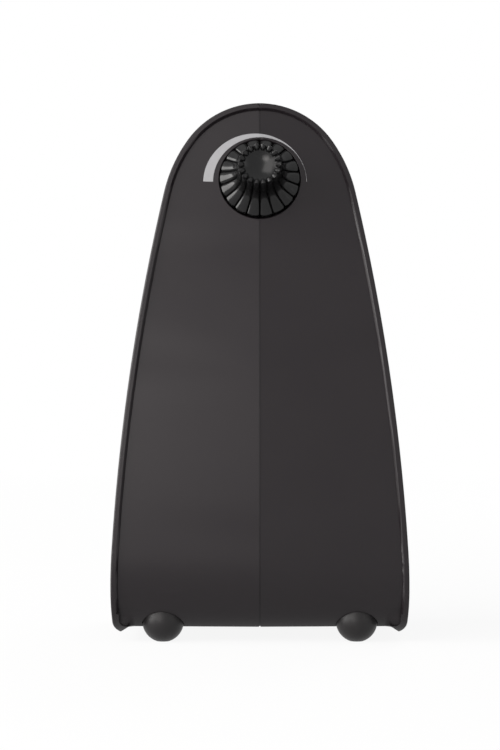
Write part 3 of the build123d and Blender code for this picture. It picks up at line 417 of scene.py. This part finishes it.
# Webs that carry the roll of the back out to the rim in the two lower corners, in mm: across from the rim
# to their end, and up from their foot to their top
WEB_RIM, WEB_END, WEB_LOW, WEB_TOP = 56.2, 49.2, 5.3, 13.5
RECESS = 1.3                    # the skin of the back lies this far under the surface of the rim
RIM_DROP, RIM_OUT = 2.0, 0.05   # the roll of the rim sits this much lower and further out
INNER_ROLL = (ROLL_AT[0], ROLL_AT[1], ROLL_R - RECESS)
OUTER_ROLL = (ROLL_AT[0] - RIM_OUT, ROLL_AT[1] - RIM_DROP, ROLL_R)
WEB_BEHIND, WEB_PROUD = 0.7, 0.03   # a web stays behind the surface of the rim, and just off the skin
WEB_WALL = 0.8
WEB_FACING, WEB_SHARP = -0.3, 38    # depth part of an outer face's direction, degrees of a sharp edge
WEB_LIT_AS, WEB_LIT_GAIN = 30, 1.7  # a web is shaded like the back at this height, soon after its ends


def rolled(z, roll):
    """Depth of a roll's surface at a height; a roll is the depth and height of its centre and its radius."""
    centre_y, centre_z, radius = roll
    return centre_y - sqrt(max(radius ** 2 - (centre_z - z) ** 2, 0))


def web_share(x, z, gain):
    """1 where a web meets the rim at its foot, falling to 0 at its end and its top."""
    across, up = (x - WEB_END) / (WEB_RIM - WEB_END), (WEB_TOP - z) / (WEB_TOP - WEB_LOW)
    return eased(clamped(gain * across)) * eased(clamped(gain * up))


def web_outward(face, point):
    """Shading of a web at a point of a facet, none where the facet looks inward."""
    if face.normal.y < WEB_FACING:
        share = web_share(abs(point.x), point.z, WEB_LIT_GAIN)
        return eased_out(1 if face.center.x > 0 else -1, point.z + (WEB_LIT_AS - point.z) * share)
    return None


for side, name in ((-1, "left"), (1, "right")):
    web = sheet(name + "_corner_web", 17, 17)
    for vertex in web.data.vertices:
        z = WEB_LOW + (WEB_TOP - WEB_LOW) * (vertex.co.y + 1) / 2
        x = WEB_RIM + (WEB_END - WEB_RIM) * (vertex.co.x + 1) / 2
        inner, outer = rolled(z, INNER_ROLL), rolled(z, OUTER_ROLL) + WEB_BEHIND
        y = inner + (outer - inner) * web_share(x, z, 1.0) + x * tan(CREASE) - WEB_PROUD
        vertex.co = MM * Vector((side * x, y, z))
    wall = web.modifiers.new("wall", "SOLIDIFY")
    wall.thickness = WEB_WALL * MM
    wall.offset = side
    apply_all(web)
    edit(web, (bpy.ops.mesh.normals_make_consistent, {"inside": False}))
    smooth(web, WEB_SHARP)
    reshade(web.data, web_outward)
    web.data.materials.append(casing_abs)
    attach(web, "housing")


# ---------------------------------------------------------------- floor and world

def looked_at(tree):
    """1 for the rays by which the background is seen directly, mirrored or through glass."""
    ray = put(tree, "ShaderNodeLightPath")
    seen = put(tree, "ShaderNodeMath", {"operation": "MAXIMUM"}, None,
               {0: ray.outputs["Is Camera Ray"], 1: ray.outputs["Is Glossy Ray"]})
    return put(tree, "ShaderNodeMath", {"operation": "MAXIMUM"}, None,
               {0: seen.outputs["Value"], 1: ray.outputs["Is Transmission Ray"]}).outputs["Value"]


FLOOR_SIZE, FLOOR_BEYOND = 6.0, 1.0     # m, and how far its middle lies beyond the object
SHADOW_TO, WHITE_FROM = 0.2, 1.6        # m from the object, between which its shadow fades out
SHADOW_WHITE = 0.9                      # share of plain white near the object, the rest takes its shadow
SKY_LIGHT = 0.35                        # strength of the white surroundings as a light

bpy.ops.object.select_all(action="DESELECT")
bpy.ops.mesh.primitive_plane_add(size=FLOOR_SIZE, location=(0, FLOOR_BEYOND, 0))
floor = bpy.context.active_object
floor.name = "floor"
bpy.ops.object.transform_apply(location=True, rotation=True, scale=True)
# White paper sweep, matt, with a faint shadow near the object
paper = bpy.data.materials.new("white_paper_sweep")
tree = new_tree(paper)
matt = put(tree, "ShaderNodeBsdfDiffuse", None, {"Color": linear("#e8e8e8")})
glow = put(tree, "ShaderNodeEmission", None, {"Color": (1, 1, 1, 1), "Strength": 1.0})
place = put(tree, "ShaderNodeTexCoord").outputs["Object"]
away = put(tree, "ShaderNodeVectorMath", {"operation": "LENGTH"}, None, {0: place}).outputs["Value"]
whiteness = put(tree, "ShaderNodeMapRange", None,
                {"From Min": SHADOW_TO, "From Max": WHITE_FROM, "To Min": SHADOW_WHITE, "To Max": 1.0},
                {"Value": away}).outputs["Result"]
factor = put(tree, "ShaderNodeMath", {"operation": "MULTIPLY"}, None,
             {0: looked_at(tree), 1: whiteness}).outputs["Value"]
sweep = put(tree, "ShaderNodeMixShader", None, None,
            {0: factor, 1: matt.outputs["BSDF"], 2: glow.outputs["Emission"]})
put(tree, "ShaderNodeOutputMaterial", None, None, {"Surface": sweep.outputs["Shader"]})
floor.data.materials.append(paper)

world = bpy.data.worlds.new("studio")
bpy.context.scene.world = world
tree = new_tree(world)
dim = put(tree, "ShaderNodeBackground", None, {"Color": (1, 1, 1, 1), "Strength": SKY_LIGHT})
white = put(tree, "ShaderNodeBackground", None, {"Color": (1, 1, 1, 1), "Strength": 1.0})
sky = put(tree, "ShaderNodeMixShader", None, None,
          {0: looked_at(tree), 1: dim.outputs["Background"], 2: white.outputs["Background"]})
put(tree, "ShaderNodeOutputWorld", None, None, {"Surface": sky.outputs["Shader"]})


# ---------------------------------------------------------------- lamps and camera

def softbox(name, place, aim, size, watts, tint=(1.0, 1.0, 1.0)):
    """Rectangular lamp at a place in m, turned towards aim."""
    data = bpy.data.lights.new(name, "AREA")
    data.color = tint
    data.shape = "RECTANGLE"
    data.size, data.size_y = size
    data.energy = watts
    lamp = bpy.data.objects.new(name, data)
    bpy.context.scene.collection.objects.link(lamp)
    lamp.location = place
    lamp.rotation_euler = (Vector(aim) - Vector(place)).to_track_quat("-Z", "Y").to_euler()


softbox("key_left", (-0.72, -1.2, 1.0), (0, -0.06, 0.15), (0.8, 1.4), 11, (1.0, 0.97, 0.95))
softbox("side_left", (-1.25, -0.3, 0.5), (0, -0.06, 0.16), (1.1, 0.9), 26, (1.0, 0.985, 0.97))
softbox("sheen_left", (-0.52, -1.5, 0.36), (0, -0.06, 0.1), (0.5, 0.4), 3.6, (1.0, 0.96, 0.94))
softbox("fill_right", (1.1, -0.9, 0.5), (0, 0, 0.1), (0.3, 0.9), 0.8)
softbox("front_side", (0.4, 1.2, 0.9), (0, 0, 0.1), (0.8, 0.8), 8)

SENSOR, FOCAL = 36.0, 116.808           # mm
CAMERA_AT = (-3.9, -1015.0, 105.3)      # mm, level and looking straight at the dial side

lens = bpy.data.cameras.new("camera")
camera = bpy.data.objects.new("camera", lens)
bpy.context.scene.collection.objects.link(camera)
bpy.context.scene.camera = camera
lens.sensor_width = SENSOR
lens.lens = FOCAL
lens.clip_start = 0.05
camera.location = tuple(c * MM for c in CAMERA_AT)
camera.rotation_euler = (pi / 2, 0, 0)

scene = bpy.context.scene
scene.view_settings.view_transform = "Standard"
